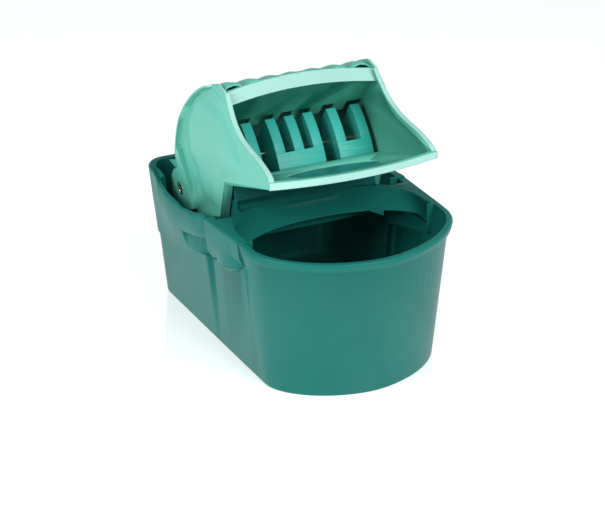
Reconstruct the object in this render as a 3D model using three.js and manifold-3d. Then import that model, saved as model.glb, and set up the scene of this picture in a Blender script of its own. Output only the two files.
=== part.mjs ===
// Household mop bucket with a rocking lever wringer.
// Units are millimetres. +Z is up, the rounded nose of the bucket points to -Y and +X is to its right.
// While a piece is drawn, y = 0 is the plane where the rounded nose meets the straight sides, and z = 0 is
// the floor. The whole group is then moved along Y, so that the origin is under the middle of the bucket.
import * as THREE from 'three';
import { mergeVertices } from 'three/addons/utils/BufferGeometryUtils.js';
import Module from 'manifold-3d';

const wasm = await Module();
wasm.setup();

// ---------------------------------------------------------------- driving dimensions
// bucket
const BUCKET_HEIGHT = 184;
const BASE_HALF_WIDTH = 114;       // at y = 0, on the floor
const BASE_NOSE = 73.5;            // from y = 0 to the tip of the nose, on the floor
const BASE_REAR = 304;             // from y = 0 to the rear wall, on the floor
const DRAFT = 0.0865;              // outward lean of the nose and the sides, per mm of height
const REAR_DRAFT = 0.028;          // the rear wall is nearly upright
const SIDE_FLARE = 0.037;          // widening of the sides towards the rear
const NOSE_POWER = 1.77;           // below 2, so the nose is slightly pointed
const REAR_CORNER_RADIUS = 25;     // on the floor
const BOW = 0.4;                   // the long walls bow outwards a little
const WALL = 3;
const FLOOR = 3.5;
const LIP_OVERHANG = 5.3;          // rolled lip around the nose
const LIP_DEPTH = 13;
const REAR_FLANGE = 2.7;           // how far the rear rim stands out from the wall
const BULGE = 9.5;                 // extra width of the rim beside the wringer
const RIM_DIP = 13;                // how far the rim dips there
const BAND_STEP = 2;               // step at the lower edge of the flared band
const BAND_LOW = 96;               // drop from the rim to that edge at the rear
const BAND_HIGH = 62;              // and behind the saddles
const LEDGE_START = 259;           // the rim is wide from here to the rear wall
const LEDGE_INSET = 7;
const LEDGE_DEPTH = 59;
const WEB_END = 138;               // flat web between the rim and the hood, behind a saddle
const WEB_INSET = 6;
// seats of the wringer in the side walls
const SEAT_FRONT = 23.5;
const SEAT_REAR = 115.5;
const SEAT_DROP_FRONT = 35;        // from the rim to the lower edge of a seat
const SEAT_DROP_REAR = 61;
const SEAT_INSET = 7;              // outer face of the wall in a seat, beyond BASE_HALF_WIDTH
const SEAT_WALL_DROP = 27;         // from the rim to the top of the wall in a seat
const POCKET_REAR = 182;           // finger pocket behind a seat, under the rim
const POCKET_DROP = 33;            // from the rim to the top of the pocket
const POCKET_SLOPE = 0.25;
const GAP = 0.4;                   // between fixed neighbours
const RUN = 1.5;                   // between moving neighbours

// wringer cradle
const SADDLE_FRONT = 24.2;
const SADDLE_REAR = 114;
const SADDLE_NOTCH = 101;          // the top plate stops here, to let the hood's legs pass
const SADDLE_SLOPE = 3;            // drop of the top plate from front to rear
const SADDLE_OUT_FRONT = 5.8;      // how far its side stands out from the bucket's wall
const SADDLE_OUT_REAR = 7.6;
const SADDLE_TAPER = 13;           // height over which the side runs out at its lower edge
const APRON_DROP = 21.5;           // from the rim to the arched lower edge of the apron
const APRON_REACH = 64;            // how far that arch reaches back
const DOME = { y: 64, lift: 5, out: 9, long: 37, high: 27 };

// hinge of the hood, and the comb that is concentric with it
const PIN = { y: 244, z: BUCKET_HEIGHT - 21 };
const SWEEP_ANGLE = 15;            // the cradle is clear of the hood's floor this far below its rest
const COMB_RADIUS = 131;
const COMB_LOW = 25;               // degrees above the horizontal, seen from the pin
const COMB_PLATE_TOP = 34;
const COMB_TOP = 54.8;
const COMB_DEPTH = 46;
const COMB_PLATE = 4;
const FIN_WIDTH = 13;
const ROD_RADIUS = 3;
const ROD_DEPTH = 36;              // behind the face of the comb
const ROD_ANGLE = 40;

// hood
const HOOD_HALF_WIDTH = BASE_HALF_WIDTH - 3;
const HOOD_WALL = 3;
const HOOD_SHRINK = 0.001;         // narrowing per mm above the lower lip
const ARC_RADIUS = 146.5;
const FLANGE_OUT = 7.5;            // the rim of a side stands out this far
const FLANGE_THICKNESS = 2.5;
const BOSS_RADIUS = 28;
const DISH_RADIUS = 10;
const SIDE_LIP = 6.5;
const LEG_WIDTH = 12.7;
const FLUTES = 7;
const FLUTE_RISE = 6;
const BACK_THICKNESS = 2.6;
const INLAY = { along: 70, long: 60, wide: 40, recess: 1.4, thickness: 1.4 };

// widths that follow the hood
const CRADLE_HALF_WIDTH = HOOD_HALF_WIDTH - LEG_WIDTH - 1.8;
const CHEEK_INNER = CRADLE_HALF_WIDTH + 5;
const CHEEK_THICKNESS = 4;
const MIDDLE_PITCH = 2 * FIN_WIDTH;
const SIDE_FINS = [CRADLE_HALF_WIDTH - 37.5, CRADLE_HALF_WIDTH - 3.5];

// hinge hardware
const PIN_RADIUS = 4;
const PIN_HEAD_RADIUS = 5.8;
const BUSH_RADIUS = 7;
const WASHER_RADIUS = 8.5;
const WASHER_THICKNESS = 1.5;
const SPRING_WIRE = 1.2;
const SPRING_RADIUS = 8;
const SPRING_TURNS = 4;
const SPRING_PITCH = 3.1;
const FIT = 0.1;                   // between a pin and its bore

// colours and finishes
const DARK = { color: 0x2f8f87, roughness: 0.38, metalness: 0 };
const LIGHT = { color: 0x63c4a8, roughness: 0.42, metalness: 0 };
const STEEL = { color: 0xb9b4a6, roughness: 0.3, metalness: 1 };
const NYLON = { color: 0xd9d8cf, roughness: 0.5, metalness: 0 };

const mirror = [-1, 1];
const rad = THREE.MathUtils.degToRad;
const mix = THREE.MathUtils.lerp;
const ease = THREE.MathUtils.smoothstep;

// ---------------------------------------------------------------- building tools
// A closed solid from rings of points, with a flat-triangulated cap on each end.
function loft(rings) {
  const count = rings[0].length;
  const points = rings.flat();
  const faces = [];
  for (let k = 0; k + 1 < rings.length; k++) {
    for (let i = 0; i < count; i++) {
      const j = (i + 1) % count;
      const [a, b, c, d] = [k * count + i, k * count + j, (k + 1) * count + j, (k + 1) * count + i];
      faces.push([a, b, c], [a, c, d]);
    }
  }
  const last = (rings.length - 1) * count;
  for (const [ring, base, flip] of [[rings[0], 0, true], [rings.at(-1), last, false]]) {
    for (const [a, b, c] of capTriangles(ring)) {
      faces.push(flip ? [base + a, base + c, base + b] : [base + a, base + b, base + c]);
    }
  }
  const volume = faces.reduce((sum, [a, b, c]) =>
    sum + points[a].dot(new THREE.Vector3().crossVectors(points[b], points[c])), 0);
  const index = (volume < 0 ? faces.map(([a, b, c]) => [a, c, b]) : faces).flat();
  const geometry = new THREE.BufferGeometry().setFromPoints(points);
  geometry.setIndex(index);
  return geometry;
}

// Triangulates a ring in the plane that it faces, keeping the ring's own winding.
function capTriangles(ring) {
  const normal = new THREE.Vector3();
  ring.forEach((p, i) => normal.add(new THREE.Vector3().crossVectors(p, ring[(i + 1) % ring.length])));
  const size = normal.toArray().map(Math.abs);
  const drop = size.indexOf(Math.max(...size));
  const [u, v] = [[1, 2], [2, 0], [0, 1]][drop];
  const flat = ring.map((p) => new THREE.Vector2(p.getComponent(u), p.getComponent(v)));
  const triangles = THREE.ShapeUtils.triangulateShape(flat, []);
  const area = ([a, b, c]) => (flat[b].x - flat[a].x) * (flat[c].y - flat[a].y)
    - (flat[b].y - flat[a].y) * (flat[c].x - flat[a].x);
  const turn = Math.sign(normal.getComponent(drop));
  return triangles.map((t) => (Math.sign(area(t)) === turn ? t : [t[0], t[2], t[1]]));
}

function solid(geometry) {
  const bare = geometry.clone();
  bare.deleteAttribute('normal');
  bare.deleteAttribute('uv');
  const merged = mergeVertices(bare, 1e-4);
  return new wasm.Manifold(new wasm.Mesh({
    numProp: 3,
    vertProperties: Float32Array.from(merged.attributes.position.array),
    triVerts: Uint32Array.from(merged.index.array),
  }));
}

function named(name, body, finish) {
  const { vertProperties, triVerts } = body.getMesh();
  const geometry = new THREE.BufferGeometry();
  geometry.setAttribute('position', new THREE.BufferAttribute(vertProperties, 3));
  geometry.setIndex(new THREE.BufferAttribute(triVerts, 1));
  geometry.computeVertexNormals();
  const mesh = new THREE.Mesh(geometry, new THREE.MeshStandardMaterial(finish));
  mesh.name = name;
  return mesh;
}

const join = (bodies) => bodies.reduce((sum, body) => sum.add(body));

function block([x0, x1], [y0, y1], [z0, z1]) {
  const box = new THREE.BoxGeometry(Math.abs(x1 - x0), y1 - y0, z1 - z0);
  return solid(box.translate((x0 + x1) / 2, (y0 + y1) / 2, (z0 + z1) / 2));
}

// A side-view outline (horizontal = y, vertical = z), made thick along X.
function sidePlate(shape, x0, x1, curveSegments = 8) {
  const low = Math.min(x0, x1);
  const geometry = new THREE.ExtrudeGeometry(shape, {
    depth: Math.abs(x1 - x0), bevelEnabled: false, curveSegments,
  });
  const turn = new THREE.Matrix4().set(0, 0, 1, low, 1, 0, 0, 0, 0, 1, 0, 0, 0, 0, 0, 1);
  return solid(geometry.applyMatrix4(turn));
}

// A plan-view outline, made thick along Z.
function planPlate(shape, z0, z1, curveSegments = 12) {
  const geometry = new THREE.ExtrudeGeometry(shape, { depth: z1 - z0, bevelEnabled: false, curveSegments });
  return solid(geometry.translate(0, 0, z0));
}

// A front-view outline (horizontal = x, vertical = z), made thick along Y.
function frontPlate(shape, y0, y1, curveSegments = 12) {
  const geometry = new THREE.ExtrudeGeometry(shape, { depth: y1 - y0, bevelEnabled: false, curveSegments });
  return solid(geometry.rotateX(Math.PI / 2).translate(0, y1, 0));
}

// A cylinder along X, at (y, z).
function bar(radius, x0, x1, y, z, segments = 32) {
  const geometry = new THREE.CylinderGeometry(radius, radius, Math.abs(x1 - x0), segments);
  return solid(geometry.rotateZ(Math.PI / 2).translate((x0 + x1) / 2, y, z));
}

const outline = (points) => new THREE.Shape(points.map(([u, v]) => new THREE.Vector2(u, v)));

// Side-view points given from the hinge pin: [rearwards, upwards].
const fromPin = (points) => points.map(([back, up]) => [PIN.y + back, PIN.z + up]);

// The place at a radius from the hinge pin and an angle above the horizontal, ahead of it.
const aroundPin = (radius, angle) => [
  PIN.y - radius * Math.cos(rad(angle)), PIN.z + radius * Math.sin(rad(angle)),
];

// A side-view sector between two radii and two angles around the pin.
function pinSector(inner, outer, low, high, steps = 8) {
  const arc = (radius, from, to) => Array.from({ length: steps + 1 },
    (_, i) => aroundPin(radius, mix(from, to, i / steps)));
  return outline([...arc(outer, low, high), ...arc(inner, high, low)]);
}

// Points of an arc in side view; the angle is measured from the rear, upwards.
const arcPoints = ({ y, z }, radius, from, to, steps) => Array.from({ length: steps + 1 }, (_, i) => {
  const angle = rad(mix(from, to, i / steps));
  return [y + radius * Math.cos(angle), z + radius * Math.sin(angle)];
});

// ---------------------------------------------------------------- bucket
// Stations run along the right half of the plan, from the tip of the nose to the middle of the rear.
const NOSE_STEPS = 16;
const SIDE_STEPS = 24;
const CORNER_STEPS = 8;
const stations = [];
for (let i = 0; i < NOSE_STEPS; i++) stations.push({ part: 'nose', t: i / NOSE_STEPS });
for (let i = 0; i < SIDE_STEPS; i++) stations.push({ part: 'side', t: i / SIDE_STEPS });
for (let i = 0; i <= CORNER_STEPS; i++) stations.push({ part: 'corner', t: i / CORNER_STEPS });
stations.push({ part: 'rear', t: 0 });

function planPoint({ part, t }, z, grow) {
  const lean = DRAFT * z + grow;
  const half = BASE_HALF_WIDTH + lean;
  const corner = REAR_CORNER_RADIUS + grow;
  const rear = BASE_REAR + REAR_DRAFT * z + grow;
  const cornerY = rear - corner;
  const cornerX = half + SIDE_FLARE * cornerY - corner;
  if (part === 'nose') {
    const angle = (1 - t) * Math.PI / 2;
    return new THREE.Vector2(half * Math.cos(angle) ** (2 / NOSE_POWER),
      -(BASE_NOSE + lean) * Math.sin(angle) ** (2 / NOSE_POWER));
  }
  if (part === 'side') {
    return new THREE.Vector2(half + SIDE_FLARE * cornerY * t + BOW * Math.sin(Math.PI * t), cornerY * t);
  }
  if (part === 'rear') return new THREE.Vector2(0, rear + BOW);
  const angle = t * Math.PI / 2;
  return new THREE.Vector2(cornerX + corner * Math.cos(angle), cornerY + corner * Math.sin(angle));
}

// One closed ring: height and growth can both change along the side.
function bucketRing(heightAt, growAt) {
  const right = stations.map((station, i) => {
    const y = planPoint(station, BUCKET_HEIGHT, 0).y;
    const [z, grow] = [heightAt(y), growAt(y)];
    const p = planPoint(station, z, grow);
    return new THREE.Vector3(i === 0 ? 0 : p.x, p.y, z);
  });
  const left = right.slice(1, -1).reverse().map((p) => new THREE.Vector3(-p.x, p.y, p.z));
  return [...right, ...left];
}

const rimHeight = (y) => BUCKET_HEIGHT - RIM_DIP * (ease(y, 100, 170) - ease(y, 240, 272));
const rimGrow = (y) => mix(LIP_OVERHANG, REAR_FLANGE, ease(y, SEAT_FRONT, SEAT_REAR))
  + BULGE * (ease(y, 95, 145) - ease(y, 205, 295));

// Lower edge of a seat, and of the saddle in it: it rises towards the front.
const seatBottom = (y) => BUCKET_HEIGHT
  - mix(SEAT_DROP_FRONT, SEAT_DROP_REAR, (y - SEAT_FRONT) / (SEAT_REAR - SEAT_FRONT));

// Lower edge of the rolled lip, of the pads ahead of the seats and of the flared band, from front to rear.
function bandEdge(y) {
  if (y < SEAT_FRONT) {
    return BUCKET_HEIGHT - mix(LIP_DEPTH, SEAT_DROP_FRONT, ease(y, SEAT_FRONT - 39, SEAT_FRONT - 2));
  }
  if (y < SEAT_REAR) return BUCKET_HEIGHT - mix(SEAT_DROP_FRONT, BAND_HIGH, ease(y, SEAT_FRONT, SEAT_REAR));
  return BUCKET_HEIGHT - mix(BAND_HIGH, BAND_LOW, ease(y, SEAT_REAR - 5, 247));
}

const bandGrow = (y) => mix(LIP_OVERHANG * 0.7, 0.6, ease(y, -6, SEAT_FRONT))
  + mix(0, BAND_STEP - 0.6, ease(y, SEAT_FRONT, SEAT_REAR));

function bucketOutside() {
  return solid(loft([
    bucketRing(() => 0, () => -2.4),
    bucketRing(() => 0.8, () => -0.8),
    bucketRing(() => 3, () => 0),
    bucketRing(bandEdge, () => 0),
    bucketRing((y) => bandEdge(y) + 2, bandGrow),
    bucketRing((y) => mix(bandEdge(y), rimHeight(y), 0.55), (y) => mix(bandGrow(y), rimGrow(y), 0.75)),
    bucketRing((y) => rimHeight(y) - 2.5, rimGrow),
    bucketRing(rimHeight, (y) => rimGrow(y) - 2),
  ]));
}

// The flared band is hollow too, so the inside follows it behind the seats.
function bucketInside() {
  const behind = (y) => ease(y, SEAT_REAR - 15, SEAT_REAR);
  const rimInside = (y) => mix(-WALL, rimGrow(y) - WALL - 2, behind(y));
  return solid(loft([
    bucketRing(() => FLOOR, () => -WALL - 6),
    bucketRing(() => FLOOR + 5, () => -WALL),
    bucketRing((y) => bandEdge(y) + 3, () => -WALL),
    bucketRing((y) => rimHeight(y) - 6, rimInside),
    bucketRing((y) => rimHeight(y) + 8, rimInside),
  ]));
}

const BEYOND = BASE_HALF_WIDTH + 90;                 // outside everything, for cutting
const SEAT_FACE = BASE_HALF_WIDTH + SEAT_INSET;
const wallAt = (y, z) => BASE_HALF_WIDTH + DRAFT * z + SIDE_FLARE * y;

// The wide rim around the rear, and the flat webs beside the hood.
function rimLedges(outside) {
  const [low, high] = [BUCKET_HEIGHT - LEDGE_DEPTH, BUCKET_HEIGHT + 5];
  const hollow = solid(loft([
    bucketRing(() => low - 5, () => -LEDGE_INSET),
    bucketRing(() => high + 5, () => -LEDGE_INSET),
  ]));
  const ledge = outside.intersect(block([-BEYOND, BEYOND], [LEDGE_START, BASE_REAR + 60], [low, high]))
    .subtract(hollow);
  const inner = wallAt(SEAT_REAR, BUCKET_HEIGHT) - WEB_INSET;
  const webs = mirror.map((side) => outside.intersect(block([side * inner, side * BEYOND],
    [SEAT_REAR, WEB_END], [rimHeight(WEB_END) - 3, high])));
  return join([ledge, ...webs]);
}

// Plan of the finger pocket behind a seat: its wall runs inwards as it comes forward.
function pocket(side, inset, below, above) {
  const plan = new THREE.Path();
  plan.moveTo(SEAT_FACE - inset, SEAT_REAR - 4);
  plan.lineTo(BEYOND, SEAT_REAR - 4);
  plan.lineTo(BEYOND, POCKET_REAR);
  plan.lineTo(wallAt(POCKET_REAR, BUCKET_HEIGHT), POCKET_REAR + inset);
  plan.quadraticCurveTo(SEAT_FACE + 10 - inset, 152, SEAT_FACE - inset, SEAT_REAR + 6);
  const points = plan.getPoints(10);
  const top = (y) => BUCKET_HEIGHT - POCKET_DROP - POCKET_SLOPE * (y - SEAT_REAR);
  const ring = (heightAt) => points.map((p) => new THREE.Vector3(side * p.x, p.y, heightAt(p.y)));
  return solid(loft([
    ring((y) => bandEdge(Math.max(y, SEAT_REAR)) - below),
    ring((y) => top(y) + above),
  ]));
}

// A seat is cut down to its sloping lower edge.
function seatCut(side, from, margin) {
  const [front, rear] = [SEAT_FRONT - margin, SEAT_REAR + margin];
  const top = BUCKET_HEIGHT + 36;
  return sidePlate(outline([
    [front, seatBottom(SEAT_FRONT) - margin], [rear, seatBottom(SEAT_REAR) - margin], [rear, top], [front, top],
  ]), side * from, side * BEYOND);
}

// Half-domed bulge, half on the saddle and half on the wall below it.
function dome(side, high) {
  const tilt = Math.atan2(SEAT_DROP_REAR - SEAT_DROP_FRONT, SEAT_REAR - SEAT_FRONT);
  const z = seatBottom(DOME.y) + DOME.lift;
  const ball = new THREE.SphereGeometry(1, 20, 12).scale(DOME.out, DOME.long, high).rotateX(-tilt);
  return solid(ball.translate(side * wallAt(DOME.y, z), DOME.y, z));
}

function bucketBody() {
  let inside = bucketInside();
  for (const side of mirror) {
    inside = inside.subtract(seatCut(side, SEAT_FACE - WALL, WALL)).subtract(pocket(side, WALL, WALL, WALL));
  }
  const outside = bucketOutside();
  let body = outside.subtract(inside).add(rimLedges(outside));
  const wallTop = [BUCKET_HEIGHT - SEAT_WALL_DROP, BUCKET_HEIGHT + 36];
  for (const side of mirror) {
    const skirt = dome(side, DOME.high / 2)
      .intersect(block([side * (SEAT_FACE + 2), side * BEYOND], [0, SEAT_REAR], [0, BUCKET_HEIGHT]));
    body = body.add(skirt)
      .subtract(seatCut(side, SEAT_FACE, 0))
      .subtract(block([side * BASE_HALF_WIDTH / 2, side * BEYOND], [SEAT_FRONT, SEAT_REAR], wallTop))
      .subtract(pocket(side, 0, 0, 0));
  }
  return body;
}

// ---------------------------------------------------------------- wringer cradle
// Front face of the apron in plan: a superellipse that closes the bucket from saddle to saddle.
function apronCurve(half, reach, power) {
  const steps = 28;
  return Array.from({ length: steps + 1 }, (_, i) => {
    const angle = Math.PI * i / steps;
    const c = Math.cos(angle);
    return [Math.sign(c) * half * Math.abs(c) ** (2 / power),
      SADDLE_FRONT + reach * Math.abs(Math.sin(angle)) ** (2 / power)];
  });
}

function apronRing(z, half, reach, power) {
  const front = apronCurve(half, reach, power);
  const rear = apronCurve(half + WALL, reach + WALL, power).reverse();
  return [...front, ...rear].map(([x, y]) => new THREE.Vector3(x, y, z));
}

const APRON_HALF = BASE_HALF_WIDTH + 9.5;
const APRON_TOP_POWER = 3.5;
const apronTop = BUCKET_HEIGHT - 1.5;
const topReach = PIN.y - Math.sqrt(COMB_RADIUS ** 2 - (apronTop - PIN.z) ** 2) - SADDLE_FRONT;

// A saddle sits in a seat of the bucket: its top plate ends at the apron, its side runs out on the wall.
function saddle(side) {
  const steps = 8;
  const edgeAt = (y) => {
    const reached = Math.min((y - SADDLE_FRONT) / topReach, 0.9);
    return APRON_HALF * (1 - reached ** APRON_TOP_POWER) ** (1 / APRON_TOP_POWER);
  };
  const sectionAt = (y) => {
    const t = (y - SADDLE_FRONT) / (SADDLE_REAR - SADDLE_FRONT);
    const [foot, top] = [seatBottom(y) + GAP, BUCKET_HEIGHT - SADDLE_SLOPE * t];
    const out = mix(SADDLE_OUT_FRONT, SADDLE_OUT_REAR, t);
    const face = (z, amount) => wallAt(y, z) + amount;
    const edge = edgeAt(y) + 1;
    return [
      [face(foot, GAP), foot], [face(foot + SADDLE_TAPER, out * 0.9), foot + SADDLE_TAPER],
      [face(top - 5, out), top - 5], [face(top - 1.6, out - 0.6), top - 1.6], [face(top, out - 2.4), top],
      [edge, top], [edge, top - WALL], [face(top - WALL, out - 4.2), top - WALL],
      [face(foot + SADDLE_TAPER, out * 0.9 - WALL), foot + SADDLE_TAPER], [face(foot, GAP - WALL), foot],
    ].map(([x, z]) => new THREE.Vector3(side * x, y, z));
  };
  const rings = Array.from({ length: steps + 1 }, (_, i) => sectionAt(mix(SADDLE_FRONT, SADDLE_REAR, i / steps)));
  const bulge = dome(side, DOME.high).intersect(seatCut(side, SEAT_FACE + 2.5, -GAP))
    .intersect(block([side * SEAT_FACE, side * BEYOND], [SADDLE_FRONT, SADDLE_REAR], [0, BUCKET_HEIGHT]));
  const notchEdge = wallAt(SADDLE_REAR, BUCKET_HEIGHT) - 5;
  const notch = block([side * BASE_HALF_WIDTH / 2, side * notchEdge], [SADDLE_NOTCH, SADDLE_REAR + 5],
    [BUCKET_HEIGHT - 34, BUCKET_HEIGHT + 16]);
  return solid(loft(rings)).subtract(notch).add(bulge);
}

function apron() {
  const bottom = BUCKET_HEIGHT - APRON_DROP;
  const bowl = solid(loft([
    apronRing(bottom, APRON_HALF, APRON_REACH, 2.1),
    apronRing(mix(bottom, apronTop, 0.35), APRON_HALF, mix(APRON_REACH, topReach, 0.55), 2.4),
    apronRing(mix(bottom, apronTop, 0.7), APRON_HALF, mix(APRON_REACH, topReach, 0.87), 2.9),
    apronRing(apronTop, APRON_HALF, topReach, APRON_TOP_POWER),
  ]));
  const wall = sidePlate(pinSector(COMB_RADIUS - WALL, COMB_RADIUS, 5, COMB_LOW - 0.6),
    -CRADLE_HALF_WIDTH, CRADLE_HALF_WIDTH);
  const dripTooth = frontPlate(outline([[66, 3], [86, 3], [85, -7]].map(([x, up]) => [x, bottom + up])),
    SADDLE_FRONT + 47, SADDLE_FRONT + 52);
  return join([bowl, wall, dripTooth]);
}

// Swept space of a hood leg, with room to run.
function legPath(side) {
  const path = outline(fromPin([[-139, 26], [-139, 21], [-134, 12], [-114, -22], [-84, -22], [-84, 26]]));
  return sidePlate(path, side * (CRADLE_HALF_WIDTH + 0.5), side * (HOOD_HALF_WIDTH + RUN));
}

// Side wall of the cradle between the legs of the hood, with the plate that carries pin and rod.
function cheek(side) {
  const [rodY, rodZ] = aroundPin(COMB_RADIUS - ROD_DEPTH, ROD_ANGLE);
  const plate = outline([
    ...fromPin([[-102, -20], [18, -20]]), ...arcPoints(PIN, 24, -40, 60, 8),
    ...fromPin([[-54, 73], [-82, 73], [-102, 37]]),
  ]);
  const [x0, x1] = [side * CHEEK_INNER, side * (CHEEK_INNER + CHEEK_THICKNESS)];
  const hubBore = bar(PIN_RADIUS + FIT, x0 - 10, x1 + 10, PIN.y, PIN.z);
  const rodBore = bar(ROD_RADIUS + FIT, x0 - 10, x1 + 10, rodY, rodZ);
  const inner = side * (CRADLE_HALF_WIDTH - WALL);
  const front = PIN.y - COMB_RADIUS - 1;
  const [low, high] = [PIN.z - 20, PIN.z + 29];
  const web = block([inner, side * CRADLE_HALF_WIDTH], [front, PIN.y - 97], [low, high]);
  const bridge = block([inner, side * (CHEEK_INNER + CHEEK_THICKNESS)], [PIN.y - 101, PIN.y - 97], [low, high]);
  const gusset = sidePlate(outline([
    [front - 8, apronTop - 5], [front - 8, apronTop - 3], [front + 8, PIN.z + 34], [front + 8, apronTop - 5],
  ]), inner, side * CRADLE_HALF_WIDTH);
  // The floor of the hood sweeps past the front of the web.
  const sweep = sidePlate(pinSector(COMB_RADIUS + RUN / 2, COMB_RADIUS + 60, COMB_LOW - SWEEP_ANGLE - 2, 60),
    -BEYOND, BEYOND);
  return sidePlate(plate, x0, x1).subtract(hubBore).subtract(rodBore).add(join([web, bridge, gusset]))
    .subtract(sweep);
}

function cradleFrame() {
  const half = CRADLE_HALF_WIDTH;
  const rearBeam = block([-CHEEK_INNER - 1, CHEEK_INNER + 1], [PIN.y + 18, PIN.y + 22], [PIN.z - 20, PIN.z + 7]);
  const sill = block([-half, half], [PIN.y - COMB_RADIUS - 3, PIN.y - COMB_RADIUS + 3], [PIN.z - 20, PIN.z + 14]);
  let front = join([apron(), saddle(-1), saddle(1)]);
  for (const side of mirror) front = front.subtract(legPath(side));
  return join([front, sill, rearBeam, cheek(-1), cheek(1)]);
}

// ---------------------------------------------------------------- comb
function fin(x) {
  return sidePlate(pinSector(COMB_RADIUS - COMB_DEPTH, COMB_RADIUS, COMB_LOW, COMB_TOP),
    x - FIN_WIDTH / 2, x + FIN_WIDTH / 2);
}

function combSegment(centres) {
  const [low, high] = [Math.min(...centres) - FIN_WIDTH / 2, Math.max(...centres) + FIN_WIDTH / 2];
  const plate = sidePlate(pinSector(COMB_RADIUS - COMB_PLATE, COMB_RADIUS, COMB_LOW, COMB_PLATE_TOP), low, high);
  const [rodY, rodZ] = aroundPin(COMB_RADIUS - ROD_DEPTH, ROD_ANGLE);
  return join([plate, ...centres.map(fin)]).subtract(bar(ROD_RADIUS + FIT, low - 5, high + 5, rodY, rodZ));
}

function combRod() {
  const [rodY, rodZ] = aroundPin(COMB_RADIUS - ROD_DEPTH, ROD_ANGLE);
  const half = CHEEK_INNER + CHEEK_THICKNESS + 0.8;
  return bar(ROD_RADIUS, -half, half, rodY, rodZ, 20);
}

// Push-on cap that keeps the rod between the cheeks.
function rodCap(side) {
  const [rodY, rodZ] = aroundPin(COMB_RADIUS - ROD_DEPTH, ROD_ANGLE);
  const x = CHEEK_INNER - GAP;
  return bar(ROD_RADIUS + 3, side * (x - 1.6), side * x, rodY, rodZ, 24)
    .subtract(bar(ROD_RADIUS + FIT, side * (x - 10), side * (x + 10), rodY, rodZ, 20));
}

function drainTray() {
  const half = CRADLE_HALF_WIDTH - WALL - GAP;
  const [columns, slotHalf] = [4, 4];
  const pitch = half / (columns + 0.9);
  const [bottom, top] = [PIN.z - 24, PIN.z - 20.5];
  let tray = block([-half, half], [PIN.y - COMB_RADIUS + 5, PIN.y + 17], [bottom, top]);
  for (let i = -columns; i <= columns; i++) {
    for (const [front, rear] of [[PIN.y - COMB_RADIUS + 15, PIN.y - 64], [PIN.y - 52, PIN.y + 2]]) {
      const x = i * pitch;
      tray = tray.subtract(block([x - slotHalf, x + slotHalf], [front, rear], [bottom - 5, top + 5]));
    }
  }
  return tray;
}

// ---------------------------------------------------------------- hood
const finCentres = [-SIDE_FINS[1], -SIDE_FINS[0], -MIDDLE_PITCH, 0, MIDDLE_PITCH, ...SIDE_FINS];

// Side profile of the hood, from the hinge pin.
const ARC = { y: PIN.y - 132, z: PIN.z + 30 };       // centre of the rounded back
const lipOutside = fromPin([[-257, 99], [-254, 106], [-244, 112.5], [-216, 119.5], [-184, 124], [-164, 129.5],
  [-141, 142], [-116, 168]]);
const lipInside = fromPin([[-120, 155], [-144, 134], [-164, 121.5], [-184, 116], [-216, 111.5], [-238, 105],
  [-242, 95]]);
const [LIP_BOTTOM, NOTCH, LEG_KNEE, LEG_TIP] = fromPin([[-256, 98], [-127, 58], [-113, 9], [-109, -5]]);
const TAIL = fromPin([[31, 28], [53, 20], [30, 17]]);
const TAPER_START = LIP_BOTTOM[1];

const curveThrough = (points, steps) => new THREE.SplineCurve(
  points.map(([u, v]) => new THREE.Vector2(u, v))).getPoints(steps).map((p) => [p.x, p.y]);

// Above the lower lip the hood narrows towards its top.
function narrow(body) {
  const [upper, lower] = body.splitByPlane([0, 0, 1], TAPER_START);
  return upper.warp((p) => { p[0] *= 1 - HOOD_SHRINK * (p[2] - TAPER_START); }).add(lower);
}

function hoodSide(side) {
  const outer = side * HOOD_HALF_WIDTH;
  const rim = side * (HOOD_HALF_WIDTH + FLANGE_OUT);
  const wall = sidePlate(outline([
    NOTCH, LIP_BOTTOM, ...curveThrough(lipOutside, 22), ...arcPoints(ARC, ARC_RADIUS, 76, 2, 20), ...TAIL,
    ...arcPoints(PIN, BOSS_RADIUS, 20, -100, 12), [PIN.y - 94, PIN.z - 11], LEG_TIP, LEG_KNEE,
  ]), outer - side * HOOD_WALL, outer);
  const flange = sidePlate(outline([...arcPoints(ARC, ARC_RADIUS, 68, 7, 18),
    ...arcPoints(ARC, ARC_RADIUS - FLANGE_THICKNESS, 7, 68, 18)]), outer - side, rim);
  const ear = sidePlate(outline([
    ...arcPoints(ARC, ARC_RADIUS, 10, 6, 2), ...arcPoints(PIN, BOSS_RADIUS, 78, -100, 16),
    ...fromPin([[-40, -12], [-34, 3], [-24, 18], [-14, 31], [-3, 43], [3, 53]]),
  ]), outer - side, rim).subtract(bar(DISH_RADIUS, rim - side * 3, rim + side * 3, PIN.y, PIN.z, 24));
  const lip = sidePlate(outline([LIP_BOTTOM, ...curveThrough(lipOutside, 22), ...curveThrough(lipInside, 16)]),
    outer - side * SIDE_LIP, outer);
  const leg = sidePlate(outline([NOTCH, [NOTCH[0] + 3, NOTCH[1] - 1], [LEG_KNEE[0] + 3, LEG_KNEE[1]],
    [LEG_TIP[0] + 2, LEG_TIP[1]], LEG_TIP, LEG_KNEE]), outer - side * LEG_WIDTH, outer);
  return join([wall, flange, ear, lip, leg]);
}

const FLOOR_FRONT = fromPin([[-268, 105.3]])[0];
const FLOOR_REAR = aroundPin(COMB_RADIUS + RUN, COMB_LOW);
const LIP_BOW = 28;                                  // control point of the bow, ahead of the ends
const LIP_TOP = LIP_BOTTOM[1] + 8;

// Plan of the front of the hood: the lower lip bows forward in the middle.
function bowedPlan(back, rearAt) {
  const [half, front] = [HOOD_HALF_WIDTH - back, LIP_BOTTOM[0] + back];
  const plan = new THREE.Shape();
  plan.moveTo(-half, front);
  plan.quadraticCurveTo(0, front - LIP_BOW, half, front);
  plan.lineTo(half, rearAt);
  plan.lineTo(-half, rearAt);
  plan.closePath();
  return plan;
}

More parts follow.
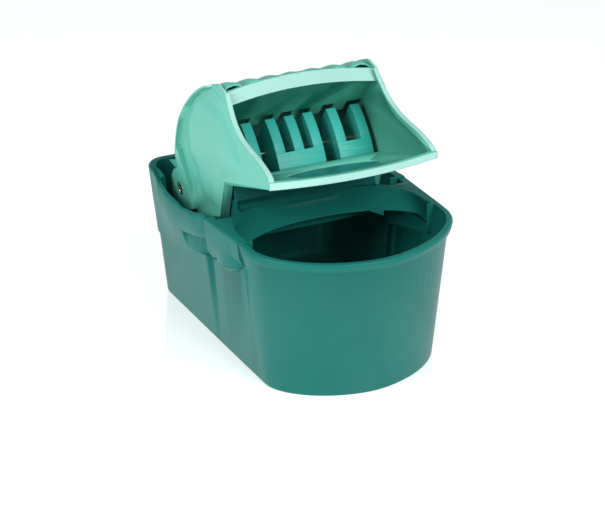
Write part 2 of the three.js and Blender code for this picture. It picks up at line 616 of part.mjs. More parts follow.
function hoodFloor() {
  const half = HOOD_HALF_WIDTH - 1;
  const shape = outline([
    FLOOR_FRONT, FLOOR_REAR, aroundPin(COMB_RADIUS + RUN, COMB_LOW - 1.8), [FLOOR_FRONT[0], FLOOR_FRONT[1] - 3.5],
  ]);
  const plan = planPlate(bowedPlan(1, PIN.y), PIN.z, LIP_TOP + 5, 20);
  return sidePlate(shape, -half, half).intersect(plan);
}

function lowerLip() {
  const [low, rear] = [LIP_BOTTOM[1] - 1, LIP_BOTTOM[0] + 9];
  const hollow = planPlate(bowedPlan(4.5, rear + 5), low - 5, LIP_TOP + 5, 20);
  return planPlate(bowedPlan(0, rear), low, LIP_TOP, 20).subtract(hollow);
}

// The top lip arches up in the middle and leans back.
function topLip() {
  const half = HOOD_HALF_WIDTH - 0.5;
  const [low, high] = [PIN.z + 151, PIN.z + 164];
  const face = new THREE.Shape();
  face.moveTo(-half, low);
  face.quadraticCurveTo(0, low + 16, half, low);
  face.lineTo(half, high);
  face.quadraticCurveTo(0, high + 17, -half, high);
  face.closePath();
  const [slope, foot] = [0.9, PIN.y - 117];
  const geometry = new THREE.ExtrudeGeometry(face, { depth: 4.5, bevelEnabled: false, curveSegments: 20 });
  const lean = new THREE.Matrix4().set(1, 0, 0, 0, 0, slope, -1, foot - slope * low, 0, 1, 0, 0, 0, 0, 0, 1);
  return solid(geometry.applyMatrix4(lean));
}

// Slots in the upper wall let the fins of the comb through, so teeth hang down between them.
function upperWall() {
  const [y0, z0] = aroundPin(COMB_RADIUS - 19, COMB_TOP + 3.6);
  const [y1, z1] = [PIN.y - 113, PIN.z + 159];
  const shape = outline([[y0, z0], [y1, z1], [y1 + 3.4, z1 + 2.4], [y0 + 3.4, z0 + 2.4]]);
  const slotShape = () => pinSector(COMB_RADIUS / 2, COMB_RADIUS + RUN, COMB_LOW, 75);
  const slots = finCentres.map((x) => sidePlate(slotShape(), x - FIN_WIDTH / 2 - RUN, x + FIN_WIDTH / 2 + RUN));
  const ends = mirror.map((side) => sidePlate(slotShape(), side * SIDE_FINS[1], side * (HOOD_HALF_WIDTH - HOOD_WALL)));
  return sidePlate(shape, 1 - HOOD_HALF_WIDTH, HOOD_HALF_WIDTH - 1).subtract(join([...slots, ...ends]));
}

// A plate of the inlay's oval shape, lying in the slope of the floor, from one depth to another below it.
function inlayShape(from, to, grow) {
  const slope = Math.atan2(FLOOR_REAR[1] - FLOOR_FRONT[1], FLOOR_REAR[0] - FLOOR_FRONT[0]);
  const plate = new THREE.CylinderGeometry(1, 1, 1, 48).rotateX(Math.PI / 2)
    .scale(INLAY.long + grow, INLAY.wide + grow, from - to).translate(0, INLAY.along, (from + to) / 2);
  return solid(plate.rotateX(slope).translate(0, ...FLOOR_FRONT));
}

function hoodBody() {
  let hood = narrow(join([hoodFloor(), lowerLip(), upperWall(), topLip(), hoodSide(-1), hoodSide(1)]));
  for (const side of mirror) {
    hood = hood.subtract(bar(BUSH_RADIUS + FIT, side * (CHEEK_INNER + 2), side * BEYOND, PIN.y, PIN.z));
  }
  return hood.subtract(inlayShape(10, -INLAY.recess - INLAY.thickness - GAP, GAP));
}

function hoodInlay() {
  return inlayShape(-INLAY.recess, -INLAY.recess - INLAY.thickness, 0);
}

// Fluted back of the hood: a scalloped strip swept around the arc of the sides, then out along the tail.
function hoodBack() {
  const step = 4;
  const pitch = 2 / FLUTES;
  const edge = Array.from({ length: FLUTES * step + 1 }, (_, k) => [
    -1 + k * pitch / step, FLUTE_RISE * Math.abs(Math.sin(Math.PI * k / step)) ** 0.75]);
  const half = HOOD_HALF_WIDTH - HOOD_WALL - GAP;
  const spine = [];
  for (let angle = 76; angle >= 8; angle -= 5.66) {
    const normal = [Math.cos(rad(angle)), Math.sin(rad(angle))];
    const valley = ARC_RADIUS - FLUTE_RISE;
    spine.push({ point: [ARC.y + valley * normal[0], ARC.z + valley * normal[1]], normal, rise: 1 });
  }
  const tail = fromPin([[13, 39], [24, 31], [48, 20.5]]);
  tail.forEach((point, i) => {
    const angle = rad([30, 58, 68][i]);
    spine.push({ point, normal: [Math.cos(angle), Math.sin(angle)], rise: [0.6, 0.3, 0.1][i] });
  });
  const rings = spine.map(({ point, normal, rise }) => {
    const at = ([x, r], sink) => new THREE.Vector3(x * half,
      point[0] + (r * rise - sink) * normal[0], point[1] + (r * rise - sink) * normal[1]);
    return [...edge.map((p) => at(p, 0)), ...edge.map((p) => at(p, BACK_THICKNESS)).reverse()];
  });
  return narrow(solid(loft(rings)));
}

// ---------------------------------------------------------------- hinge hardware
const DISH_FACE = HOOD_HALF_WIDTH + FLANGE_OUT - 3;  // bottom of the dish in a boss

function hingePin(side) {
  const reach = DISH_FACE - CHEEK_INNER + 7;
  const profile = [[0, -reach], [PIN_RADIUS, -reach], [PIN_RADIUS, 0.3], [PIN_HEAD_RADIUS + 1.5, 0.3],
    [PIN_HEAD_RADIUS + 1.5, 1.2], [PIN_HEAD_RADIUS, 2.2], [3.2, 2.2], [2.8, 0.2], [2.8, -6], [0, -6]];
  const geometry = new THREE.LatheGeometry(profile.map(([r, h]) => new THREE.Vector2(r, h)), 32);
  return solid(geometry.rotateZ(-side * Math.PI / 2).translate(side * DISH_FACE, PIN.y, PIN.z));
}

function hingeBush(side) {
  return bar(BUSH_RADIUS, side * (HOOD_HALF_WIDTH - HOOD_WALL - 1.5), side * (DISH_FACE - FIT), PIN.y, PIN.z)
    .subtract(bar(PIN_RADIUS + FIT, side * CRADLE_HALF_WIDTH, side * BEYOND, PIN.y, PIN.z));
}

function pinWasher(side) {
  const x = CHEEK_INNER - GAP;
  return bar(WASHER_RADIUS, side * (x - WASHER_THICKNESS), side * x, PIN.y, PIN.z)
    .subtract(bar(PIN_RADIUS + FIT, side * (x - 15), side * BEYOND, PIN.y, PIN.z));
}

function returnSpring(side) {
  const inner = CHEEK_INNER - 3.5;
  const end = inner - SPRING_PITCH * SPRING_TURNS;
  const turnSteps = 14;
  const at = (x, back, up) => new THREE.Vector3(side * x, PIN.y + back, PIN.z + up);
  const points = [at(inner, 8, -13), at(inner, SPRING_RADIUS + 1, -5)];
  for (let i = 0; i <= SPRING_TURNS * turnSteps; i++) {
    const angle = i / turnSteps * Math.PI * 2;
    points.push(at(inner - SPRING_PITCH * i / turnSteps,
      SPRING_RADIUS * Math.cos(angle), SPRING_RADIUS * Math.sin(angle)));
  }
  points.push(at(end, SPRING_RADIUS - 1, 12), at(end, -2, 36));
  const wire = new THREE.Shape().absarc(0, 0, SPRING_WIRE, 0, Math.PI * 2);
  return solid(new THREE.ExtrudeGeometry(wire, {
    steps: 64, curveSegments: 3, bevelEnabled: false, extrudePath: new THREE.CatmullRomCurve3(points),
  }));
}

// ---------------------------------------------------------------- assembly
const assembly = new THREE.Group();
assembly.add(named('bucket_body', bucketBody(), DARK));
assembly.add(named('cradle_frame', cradleFrame(), DARK));
assembly.add(named('drain_tray', drainTray(), DARK));
assembly.add(named('comb_middle', combSegment([-MIDDLE_PITCH, 0, MIDDLE_PITCH]), DARK));
assembly.add(named('comb_rod', combRod(), STEEL));
assembly.add(named('hood_body', hoodBody(), LIGHT));
assembly.add(named('hood_back', hoodBack(), LIGHT));
assembly.add(named('hood_badge', hoodInlay(), DARK));
for (const [side, label] of [[-1, 'left'], [1, 'right']]) {
  assembly.add(named(`comb_${label}`, combSegment(SIDE_FINS.map((x) => side * x)), DARK));
  assembly.add(named(`rod_cap_${label}`, rodCap(side), NYLON));
  assembly.add(named(`hinge_pin_${label}`, hingePin(side), STEEL));
  assembly.add(named(`hinge_bush_${label}`, hingeBush(side), NYLON));
  assembly.add(named(`pin_washer_${label}`, pinWasher(side), STEEL));
  assembly.add(named(`return_spring_${label}`, returnSpring(side), STEEL));
}
const lipEnd = BASE_NOSE + DRAFT * (BUCKET_HEIGHT - 2.5) + LIP_OVERHANG;
const rearEnd = BASE_REAR + REAR_DRAFT * (BUCKET_HEIGHT - 2.5) + REAR_FLANGE;
assembly.position.y = (lipEnd - rearEnd) / 2;

export default assembly;
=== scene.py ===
# %% [markdown]
# # A mop bucket with a wringer, finished for a picture
#
# The CAD model fixes where every piece is. This lesson gives each piece the surface it has in
# real life: satin moulded plastic with soft edges, bright rivets, zinc-plated wire, white nylon.
# The first cell loads the model.

# %% load the model
import math

import bpy
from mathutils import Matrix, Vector


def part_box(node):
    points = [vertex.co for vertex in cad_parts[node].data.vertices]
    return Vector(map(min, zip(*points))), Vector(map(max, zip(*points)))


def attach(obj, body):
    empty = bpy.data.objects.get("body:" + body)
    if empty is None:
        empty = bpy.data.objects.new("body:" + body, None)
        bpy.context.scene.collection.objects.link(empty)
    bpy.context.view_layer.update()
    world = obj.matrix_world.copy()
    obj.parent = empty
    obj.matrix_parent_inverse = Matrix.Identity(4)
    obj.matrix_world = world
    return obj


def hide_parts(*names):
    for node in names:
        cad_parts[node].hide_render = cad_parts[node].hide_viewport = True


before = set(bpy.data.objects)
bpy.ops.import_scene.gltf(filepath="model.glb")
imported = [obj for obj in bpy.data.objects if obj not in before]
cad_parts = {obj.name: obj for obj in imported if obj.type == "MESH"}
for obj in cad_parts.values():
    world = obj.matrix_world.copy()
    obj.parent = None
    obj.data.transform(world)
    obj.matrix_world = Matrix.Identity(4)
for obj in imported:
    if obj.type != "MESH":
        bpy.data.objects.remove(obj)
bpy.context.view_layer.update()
scene = bpy.context.scene

# %% [markdown]
# ## Small helpers
#
# Modelling steps work on whatever is selected, so each step starts from a clean selection.
# `select_only` does that for objects. `pick` does it for faces or edges inside Edit Mode, by their
# place: it takes a test on the centre of each one and on its direction. Choosing by place keeps
# working when an earlier step changes, and choosing by number would not.

# %% helpers
MM = 0.001


def select_only(piece):
    bpy.ops.object.select_all(action="DESELECT")
    piece.select_set(True)
    bpy.context.view_layer.objects.active = piece


def pick(piece, kind, test):
    """Selects the faces or edges of the piece that pass the test, and leaves Edit Mode on."""
    bpy.ops.object.mode_set(mode="EDIT")
    bpy.ops.mesh.select_mode(type=kind)
    bpy.ops.mesh.select_all(action="DESELECT")
    bpy.ops.object.mode_set(mode="OBJECT")
    mesh = piece.data
    if kind == "FACE":
        for face in mesh.polygons:
            face.select = test(face.center, face.normal)
    else:
        for edge in mesh.edges:
            ends = [mesh.vertices[i].co for i in edge.vertices]
            edge.select = test((ends[0] + ends[1]) / 2, (ends[1] - ends[0]).normalized())
    bpy.ops.object.mode_set(mode="EDIT")


def apply_modifier(piece, kind, **settings):
    """Adds one modifier, sets it up and applies it."""
    modifier = piece.modifiers.new(kind.title(), kind)
    for name, value in settings.items():
        setattr(modifier, name, value)
    select_only(piece)
    bpy.ops.object.modifier_apply(modifier=modifier.name)


print("helpers ready")

# %% [markdown]
# ## The moulded plastic
#
# Moulded polypropylene is satin, not mirror-like. Three things make it look real:
#
# - the colour drifts by a few per cent, because pigment never spreads evenly;
# - the roughness drifts too, so a highlight has a slightly broken outline;
# - the surface has a very fine "orange peel", which a weak bump gives.
#
# All three read Object coordinates, so the pattern is fixed to the piece and moves with it.
# A Bevel node bends the normals near each edge. That gives the thin bright line that a rounded
# edge shows, at a size (a millimetre) where extra geometry would not be seen.

# %% plastic material


def add(tree, kind, **values):
    node = tree.nodes.new(kind)
    for name, value in values.items():
        node.inputs[name].default_value = value
    return node


def moulded_plastic(name, colour, drift, rough, specular, edge):
    material = bpy.data.materials.new(name)
    material.use_nodes = True
    tree = material.node_tree
    shader = tree.nodes["Principled BSDF"]
    shader.inputs["Specular IOR Level"].default_value = specular
    place = tree.nodes.new("ShaderNodeTexCoord")
    clouds = add(tree, "ShaderNodeTexNoise", Scale=14.0, Detail=4.0)
    grain = add(tree, "ShaderNodeTexNoise", Scale=1400.0, Detail=2.0)
    for noise in (clouds, grain):
        tree.links.new(place.outputs["Object"], noise.inputs["Vector"])
    tint = tree.nodes.new("ShaderNodeValToRGB")
    tint.color_ramp.elements[0].position = 0.35
    tint.color_ramp.elements[1].position = 0.65
    tint.color_ramp.elements[0].color = (*[c * (1 - drift) for c in colour], 1)
    tint.color_ramp.elements[1].color = (*[c * (1 + drift) for c in colour], 1)
    tree.links.new(clouds.outputs["Fac"], tint.inputs["Fac"])
    tree.links.new(tint.outputs["Color"], shader.inputs["Base Color"])
    gloss = add(tree, "ShaderNodeMapRange", **{"To Min": rough - 0.05, "To Max": rough + 0.05})
    tree.links.new(clouds.outputs["Fac"], gloss.inputs["Value"])
    tree.links.new(gloss.outputs["Result"], shader.inputs["Roughness"])
    soft = add(tree, "ShaderNodeBevel", Radius=edge)
    soft.samples = 8
    peel = add(tree, "ShaderNodeBump", Strength=0.08, Distance=0.0002)
    tree.links.new(grain.outputs["Fac"], peel.inputs["Height"])
    tree.links.new(soft.outputs["Normal"], peel.inputs["Normal"])
    tree.links.new(peel.outputs["Normal"], shader.inputs["Normal"])
    return material


teal = moulded_plastic("teal_plastic", (0.009, 0.140, 0.122), 0.04, 0.32, 0.08, 1.3 * MM)
teal_dark = moulded_plastic("teal_dark_plastic", (0.012, 0.180, 0.160), 0.04, 0.34, 0.10, 1.0 * MM)
teal_comb = moulded_plastic("teal_comb_plastic", (0.040, 0.400, 0.350), 0.04, 0.34, 0.20, 0.8 * MM)
sea_green = moulded_plastic("sea_green_plastic", (0.098, 0.430, 0.335), 0.03, 0.34, 0.28, 1.3 * MM)
pale_green = moulded_plastic("pale_green_edge", (0.31, 0.57, 0.51), 0.03, 0.30, 0.35, 1.3 * MM)
nylon = moulded_plastic("nylon", (0.72, 0.70, 0.62), 0.02, 0.45, 0.4, 0.5 * MM)
print("plastics:", [m.name for m in (teal, teal_dark, sea_green, nylon)])

# %% [markdown]
# ## The metals
#
# Zinc-plated wire and the rolled heads of tubular rivets are both metals, so Metallic is 1 and
# the colour is the colour of the reflection. A fine noise in the roughness and the bump gives the
# broken lines of a worked surface, and a coarser one mixes a duller tone in, in spots. The wells
# of the rivets are darker and brown, so each well has a darker and rougher material of its own.

# %% metal material


def drawn_metal(name, colour, dull, rough):
    material = bpy.data.materials.new(name)
    material.use_nodes = True
    tree = material.node_tree
    shader = tree.nodes["Principled BSDF"]
    shader.inputs["Metallic"].default_value = 1.0
    place = tree.nodes.new("ShaderNodeTexCoord")
    lines = add(tree, "ShaderNodeTexNoise", Scale=500.0, Detail=6.0)
    spots = add(tree, "ShaderNodeTexNoise", Scale=160.0, Detail=5.0)
    for noise in (lines, spots):
        tree.links.new(place.outputs["Object"], noise.inputs["Vector"])
    tint = tree.nodes.new("ShaderNodeValToRGB")
    tint.color_ramp.elements[0].position = 0.40
    tint.color_ramp.elements[1].position = 0.55
    tint.color_ramp.elements[0].color = (*dull, 1)
    tint.color_ramp.elements[1].color = (*colour, 1)
    tree.links.new(spots.outputs["Fac"], tint.inputs["Fac"])
    tree.links.new(tint.outputs["Color"], shader.inputs["Base Color"])
    gloss = add(tree, "ShaderNodeMapRange", **{"To Min": rough - 0.08, "To Max": rough + 0.12})
    tree.links.new(lines.outputs["Fac"], gloss.inputs["Value"])
    tree.links.new(gloss.outputs["Result"], shader.inputs["Roughness"])
    scratch = add(tree, "ShaderNodeBump", Strength=0.1, Distance=0.0001)
    tree.links.new(lines.outputs["Fac"], scratch.inputs["Height"])
    tree.links.new(scratch.outputs["Normal"], shader.inputs["Normal"])
    return material


zinc = drawn_metal("zinc_wire", (0.66, 0.66, 0.64), (0.50, 0.50, 0.48), 0.32)
rivet_rim = drawn_metal("rivet_rim", (0.86, 0.83, 0.74), (0.70, 0.64, 0.52), 0.22)
rivet_well = drawn_metal("rivet_well", (0.30, 0.16, 0.09), (0.16, 0.08, 0.05), 0.45)
print("metals:", [m.name for m in (zinc, rivet_rim, rivet_well)])

# %% [markdown]
# ## The large mouldings
#
# The bucket, the cradle and the hood keep their CAD shape: their curved walls were lofted there,
# and a second version would only drift away from it. A CAD mesh comes as loose triangles, so a
# copy is merged first; then smoothing by angle turns facets into curves and leaves real edges
# sharp. `skin` makes such a copy, which is shown instead of the CAD piece. The fluted rear shell
# stops short of the top lip, so its front end is then pulled forwards with an extrusion.

# %% smooth copies of the large mouldings
MERGE = 0.01 * MM
FLAT = math.radians(0.03)       # faces that meet at less than this are one face
SHARP = math.radians(50)        # edges steeper than this are rounded


def skin(node, body, material, angle=32.0, soften=0.0):
    piece = bpy.data.objects.new(node + "_skin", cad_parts[node].data.copy())
    scene.collection.objects.link(piece)
    piece.data.materials.clear()
    piece.data.materials.append(material)
    select_only(piece)
    bpy.ops.object.mode_set(mode="EDIT")
    bpy.ops.mesh.select_all(action="SELECT")
    bpy.ops.mesh.remove_doubles(threshold=MERGE)
    bpy.ops.mesh.dissolve_limited(angle_limit=FLAT)
    bpy.ops.object.mode_set(mode="OBJECT")
    if soften:
        apply_modifier(piece, "BEVEL", width=soften, segments=3, limit_method="ANGLE",
                       angle_limit=SHARP, use_clamp_overlap=True)
    bpy.ops.object.shade_smooth_by_angle(angle=math.radians(angle))
    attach(piece, body)
    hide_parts(node)
    print(piece.name, "faces:", len(piece.data.polygons))
    return piece


skin("bucket_body", "bucket", teal)
skin("cradle_frame", "cradle", teal)
hood = skin("hood_body", "hood", sea_green)
hood_rear = skin("hood_back", "hood", sea_green, angle=40.0)

# %% run the flutes on to the top lip
FLUTE_END, LIP_GAP = 12 * MM, 6.5 * MM
end_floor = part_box("hood_back")[1][2] - FLUTE_END
pick(hood_rear, "FACE", lambda centre, normal: normal.y < -0.9 and centre.z > end_floor)
bpy.ops.mesh.extrude_region_move(TRANSFORM_OT_translate={"value": (0, -LIP_GAP, 0)})
bpy.ops.object.mode_set(mode="OBJECT")
print("rear shell faces:", len(hood_rear.data.polygons))

# %% [markdown]
# ## The bright lips of the hood
#
# The lips around the mouth catch the light and look almost white beside the satin green. The
# lamps below do not make them that bright, so a second, paler material stands in for the light.
# Its faces are found by place and direction: they face forwards or upwards, and they lie at the
# front edge of the mouth.

# %% lips
hood.data.materials.append(pale_green)
pin = (Vector(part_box("hinge_bush_left")[0]) + Vector(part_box("hinge_bush_left")[1])) / 2


def on_lip(centre, normal):
    back, up = (centre.y - pin.y) / MM, (centre.z - pin.z) / MM
    top = up > 150 and normal.y < -0.4 and normal.z > 0.2
    low = back < -250 and up > 96 and normal.y < -0.5
    side = abs(centre.x) > 95 * MM and abs(normal.x) < 0.5 and up > 98 and back < -100 \
        and normal.z > 0.3
    return top or low or side


for face in hood.data.polygons:
    face.material_index = 1 if on_lip(face.center, face.normal) else 0
print("lip faces:", sum(face.material_index for face in hood.data.polygons))

# %% [markdown]
# ## The raised disc on each side of the hood
#
# Each side of the hood swells by two millimetres to a flat disc, with a soft slope around it. A
# slope like that is easy with proportional editing: a fine grid lies just under the side, the
# edges of the disc are picked and pulled out, and the points around them follow with a smooth
# falloff. The part of the grid outside the hood's outline is deleted first, and an extrusion
# inwards gives the sheet a thickness that ends inside the wall. The side leans in above
# `fold`, so the upper rows are turned about that line.

# %% raised discs
side_at = 111 * MM              # outer face of the hood's side, below the fold
fold = pin.z + 98 * MM
lean = math.atan(0.111)         # of the side above the fold
sunk = 0.7 * MM                 # the sheet starts this far inside the side
swell = 2.7 * MM
slope = 24 * MM                 # width of the slope around the disc
grid_size, grid_cells, sheet = 180 * MM, 90, 2.0 * MM
disc_y, disc_z, disc_radius = pin.y - 101 * MM, pin.z + 87 * MM, 71 * MM
arc_y, arc_z, arc_radius = pin.y - 132 * MM, pin.z + 30 * MM, 143 * MM
from_pin = [(-184, 114), (-164, 119), (-144, 131), (-120, 152)]
lip_line = [(pin.y + back * MM, pin.z + up * MM) for back, up in from_pin]


def beyond_arc(centre):
    return math.hypot(centre.y - arc_y, centre.z - arc_z) > arc_radius


def beyond_front(centre):
    back, up = (centre.y - pin.y) / MM, (centre.z - pin.z) / MM
    if math.hypot(back, up) < 50 or up < 5:
        return True
    if up < 60 and back < -110 - 0.28 * (up - 5):
        return True
    if back < -124 and up < 60 - 0.31 * (back + 127):
        return True
    for (y0, z0), (y1, z1) in zip(lip_line, lip_line[1:]):
        if y0 <= centre.y <= y1 and centre.z > z0 + (z1 - z0) * (centre.y - y0) / (y1 - y0):
            return True
    return centre.y < lip_line[0][0] or centre.z > lip_line[-1][1]


def on_disc(centre):
    """True inside the disc, and far enough from the lip for the slope to run out."""
    if math.hypot(centre.y - disc_y, centre.z - disc_z) > disc_radius:
        return False
    angles = (0, 0.8, 1.6, 2.4, 3.1, 3.9, 4.7, 5.5)
    around = [Vector((0, math.cos(angle), math.sin(angle))) * slope for angle in angles]
    return not any(beyond_front(centre + step) for step in around)


def raised_disc(label, side):
    bpy.ops.object.select_all(action="DESELECT")
    bpy.ops.mesh.primitive_grid_add(x_subdivisions=grid_cells, y_subdivisions=grid_cells,
                                    size=grid_size, location=(0, 0, 0))
    piece = bpy.context.object
    piece.name = "hood_disc_" + label
    bpy.ops.object.mode_set(mode="EDIT")
    bpy.ops.mesh.select_all(action="SELECT")
    bpy.ops.transform.rotate(value=side * math.pi / 2, orient_axis="Y", center_override=(0, 0, 0))
    bpy.ops.mesh.select_all(action="SELECT")
    bpy.ops.transform.translate(value=(side * (side_at - sunk), disc_y, disc_z - 5 * MM))
    pick(piece, "FACE", lambda centre, normal: beyond_arc(centre) or beyond_front(centre))
    bpy.ops.mesh.delete(type="FACE")
    pick(piece, "EDGE", lambda centre, along: on_disc(centre))
    bpy.ops.transform.translate(value=(side * swell, 0, 0), use_proportional_edit=True,
                                proportional_edit_falloff="SMOOTH", proportional_size=slope)
    pick(piece, "EDGE", lambda centre, along: centre.z > fold)
    bpy.ops.transform.rotate(value=side * lean, orient_axis="Y",
                             center_override=(side * side_at, disc_y, fold))
    bpy.ops.mesh.select_all(action="SELECT")
    bpy.ops.mesh.extrude_region_move(TRANSFORM_OT_translate={"value": (-side * sheet, 0, 0)})
    bpy.ops.mesh.select_all(action="SELECT")
    bpy.ops.mesh.normals_make_consistent(inside=False)
    bpy.ops.object.mode_set(mode="OBJECT")
    bpy.ops.object.shade_smooth_by_angle(angle=math.radians(30))
    piece.data.materials.append(sea_green)
    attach(piece, "hood")
    reach = [round(v.co.x / MM, 2) for v in piece.data.vertices]
    print(piece.name, "x from", min(reach), "to", max(reach), "mm")


raised_disc("left", -1)
raised_disc("right", 1)

# %% [markdown]
# ## The comb, the tray and the oval inlay
#
# These are flat-sided mouldings with crisp but rounded edges. Their meshes are simple enough for
# a real Bevel modifier, so the rounding is geometry here: it is what makes the dark gaps between
# the fins read as soft mouldings and not as cut card. The combs stand deep inside and still look
# bright, so their plastic is paler than the cradle's: that too stands in for light.

# %% rounded small mouldings
for label in ("left", "middle", "right"):
    skin("comb_" + label, "cradle", teal_comb, soften=0.9 * MM)
skin("drain_tray", "cradle", teal_dark, soften=0.5 * MM)
skin("hood_badge", "hood", teal_dark, soften=0.4 * MM)

# %% [markdown]
# ## Turned and drawn pieces
#
# Washers, bushes, caps and the rod are round, so each starts as a cylinder of the size that
# its CAD twin measures. Rings get their hole by insetting both end faces and bridging the
# two inner faces.

# %% round pieces


def round_piece(node, body, material, hole=0.0, rounding=0.3 * MM):
    low, high = (Vector(corner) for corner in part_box(node))
    middle, size = (low + high) / 2, high - low
    radius = size.y / 2
    bpy.ops.object.select_all(action="DESELECT")
    bpy.ops.mesh.primitive_cylinder_add(vertices=64, radius=radius, depth=size.x,
                                        location=(0, 0, 0))
    piece = bpy.context.object
    piece.name = node + "_turned"
    bpy.ops.object.mode_set(mode="EDIT")
    bpy.ops.mesh.select_all(action="SELECT")
    bpy.ops.transform.rotate(value=math.pi / 2, orient_axis="Y", center_override=(0, 0, 0))
    pick(piece, "FACE", lambda centre, normal: abs(normal.x) > 0.9)
    if hole:
        bpy.ops.mesh.inset(thickness=radius - hole, depth=0)
        bpy.ops.mesh.bridge_edge_loops()
    pick(piece, "EDGE", lambda centre, along: abs(abs(centre.x) - size.x / 2) < 0.01 * MM
         and math.hypot(centre.y, centre.z) > radius * 0.97)
    bpy.ops.mesh.bevel(offset=rounding, segments=3, affect="EDGES")
    bpy.ops.mesh.select_all(action="SELECT")
    bpy.ops.transform.translate(value=middle)
    bpy.ops.object.mode_set(mode="OBJECT")
    bpy.ops.object.shade_smooth_by_angle(angle=math.radians(40))
    piece.data.materials.append(material)
    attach(piece, body)
    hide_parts(node)
    print(piece.name, "radius mm:", round(radius / MM, 2), "faces:", len(piece.data.polygons))
    return piece


PIN_BORE, ROD_BORE = 4.1 * MM, 3.1 * MM
for label in ("left", "right"):
    round_piece("pin_washer_" + label, "cradle", zinc, hole=PIN_BORE)
    round_piece("hinge_bush_" + label, "hood", nylon, hole=PIN_BORE)
    round_piece("rod_cap_" + label, "cradle", nylon, hole=ROD_BORE)
round_piece("comb_rod", "cradle", zinc, rounding=0.5 * MM)

# %% [markdown]
# ## The rivets
#
# A tubular rivet has a rolled head: a bright ring around a deep, darker well. The head starts as
# a cylinder; its outer face is inset to leave the ring, the inner face is pushed in to make the
# well, and the two rims are bevelled round. The well gets its own, darker material slot.

# %% rivets
SHANK = 4.0 * MM                # radius below the head
HEAD_DEPTH = 2.0 * MM
RING = 2.6 * MM                 # width of the rolled ring
WELL = 7.0 * MM                 # depth of the hole in the head
ROLL = 1.1 * MM                 # rounding of the ring


def rivet(label, side):
    node = "hinge_pin_" + label
    low, high = (Vector(corner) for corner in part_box(node))
    middle, head = (low + high) / 2, (high.y - low.y) / 2
    outer = max(abs(low.x), abs(high.x)) * side
    inner = min(abs(low.x), abs(high.x)) * side
    bpy.ops.object.select_all(action="DESELECT")
    bpy.ops.mesh.primitive_cylinder_add(vertices=64, radius=head, depth=HEAD_DEPTH,
                                        location=(0, 0, 0))
    piece = bpy.context.object
    piece.name = node + "_rolled"
    piece.data.materials.append(rivet_rim)
    piece.data.materials.append(rivet_well)
    bpy.ops.object.mode_set(mode="EDIT")
    bpy.ops.mesh.select_all(action="SELECT")
    bpy.ops.transform.rotate(value=side * math.pi / 2, orient_axis="Y", center_override=(0, 0, 0))
    bpy.ops.mesh.select_all(action="SELECT")
    bpy.ops.transform.translate(value=(outer - side * HEAD_DEPTH / 2, middle.y, middle.z))
    pick(piece, "FACE", lambda centre, normal: normal.x * side > 0.9)
    bpy.ops.mesh.inset(thickness=RING, depth=0)
    bpy.ops.mesh.extrude_region_move(TRANSFORM_OT_translate={"value": (-side * WELL, 0, 0)})
    pick(piece, "FACE", lambda centre, normal: normal.x * side < -0.9)
    bpy.ops.mesh.inset(thickness=head - SHANK, depth=0)
    bpy.ops.mesh.extrude_region_move(
        TRANSFORM_OT_translate={"value": (inner - outer + side * HEAD_DEPTH, 0, 0)})
    pick(piece, "EDGE", lambda centre, along: abs(centre.x - outer) < 0.01 * MM
         and abs(along.x) < 0.1)
    bpy.ops.mesh.bevel(offset=ROLL, segments=5, affect="EDGES")
    bpy.ops.object.mode_set(mode="OBJECT")
    for face in piece.data.polygons:
        reach = math.hypot(face.center.y - middle.y, face.center.z - middle.z)
        depth = abs(outer) - abs(face.center.x)
        in_well = reach < head - RING + 0.2 * MM and 0.8 * MM < depth < WELL + 1.0 * MM
        face.material_index = 1 if in_well else 0
    bpy.ops.object.shade_smooth_by_angle(angle=math.radians(50))
    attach(piece, "cradle")
    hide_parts(node)
    print(piece.name, "head mm:", round(head / MM, 2), "faces:", len(piece.data.polygons))


rivet("left", -1)
rivet("right", 1)

# %% [markdown]
# ## The return springs
#
# The springs are wound wire, so the CAD coils only need smoothing: a copy is merged, one level of
# subdivision rounds the six-sided wire, and the drawn zinc goes on.

# %% springs
for label in ("left", "right"):
    coil = skin("return_spring_" + label, "cradle", zinc, angle=80.0)
    apply_modifier(coil, "SUBSURF", levels=1, render_levels=1)
    bpy.ops.object.shade_smooth()

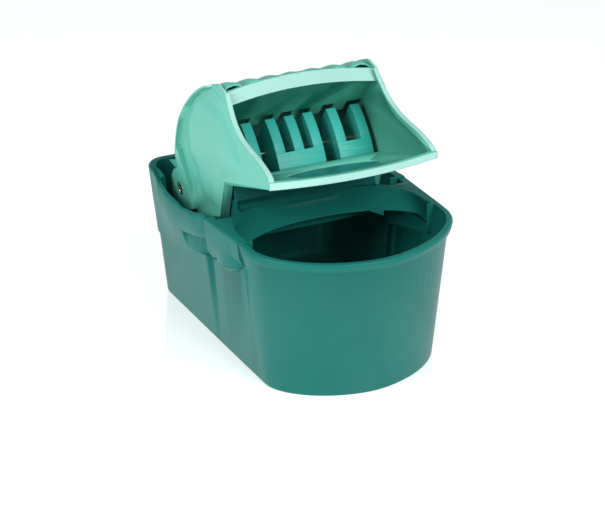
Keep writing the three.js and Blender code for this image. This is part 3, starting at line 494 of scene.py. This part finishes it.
# %% [markdown]
# ## Floor, light and camera
#
# The object stands on a glossy white table under soft light, so it shows a pale mirror image
# below its base. The table also glows a little, which keeps it white where few lamps reach it.
# A large key light on the left makes the long side brighter than the nose. A
# light above the front reflects in the pale lips of the hood, which turns them almost white, and
# reaches the comb inside. A dim world fills the shadows without greying the colours. The camera
# looks down by 26 degrees, from the left of the nose.

# %% floor
bpy.ops.object.select_all(action="DESELECT")
bpy.ops.mesh.primitive_plane_add(size=12)
table = bpy.context.object
table.name = "table"
gloss_white = bpy.data.materials.new("gloss_white")
gloss_white.use_nodes = True
white = gloss_white.node_tree.nodes["Principled BSDF"]
white.inputs["Base Color"].default_value = (0.93, 0.94, 0.95, 1)
white.inputs["Roughness"].default_value = 0.03
white.inputs["IOR"].default_value = 4.5
white.inputs["Emission Color"].default_value = (1, 1, 1, 1)
white.inputs["Emission Strength"].default_value = 0.46
table.data.materials.append(gloss_white)
print("table metres across:", round(table.dimensions.x, 1))

# %% lights and world
scene.view_settings.view_transform = "Standard"
world = bpy.data.worlds.new("studio")
world.use_nodes = True
scene.world = world
world.node_tree.nodes["Background"].inputs["Color"].default_value = (0.95, 0.98, 1, 1)
world.node_tree.nodes["Background"].inputs["Strength"].default_value = 0.42


def soft_light(name, place, size, power):
    data = bpy.data.lights.new(name, "AREA")
    data.size, data.energy = size, power
    lamp = bpy.data.objects.new(name, data)
    scene.collection.objects.link(lamp)
    lamp.location = place
    lamp.rotation_euler = (Vector((0, 0, 0.12)) - Vector(place)).to_track_quat("-Z", "Y").to_euler()


soft_light("key", (-1.8, -0.5, 1.3), 1.0, 30)
soft_light("front", (0.35, -1.5, 1.35), 1.0, 27)

# %% camera
view = bpy.data.cameras.new("view")
view.sensor_width, view.lens = 36, 104.13
camera = bpy.data.objects.new("camera", view)
scene.collection.objects.link(camera)
target = Vector((-0.0176, -0.01644, 0.1116))
camera.location = target + Vector((-0.86846, -1.76477, 0.95303))
camera.rotation_euler = (target - camera.location).to_track_quat("-Z", "Y").to_euler()
scene.camera = camera
print("camera to object, metres:", round((camera.location - target).length, 3))
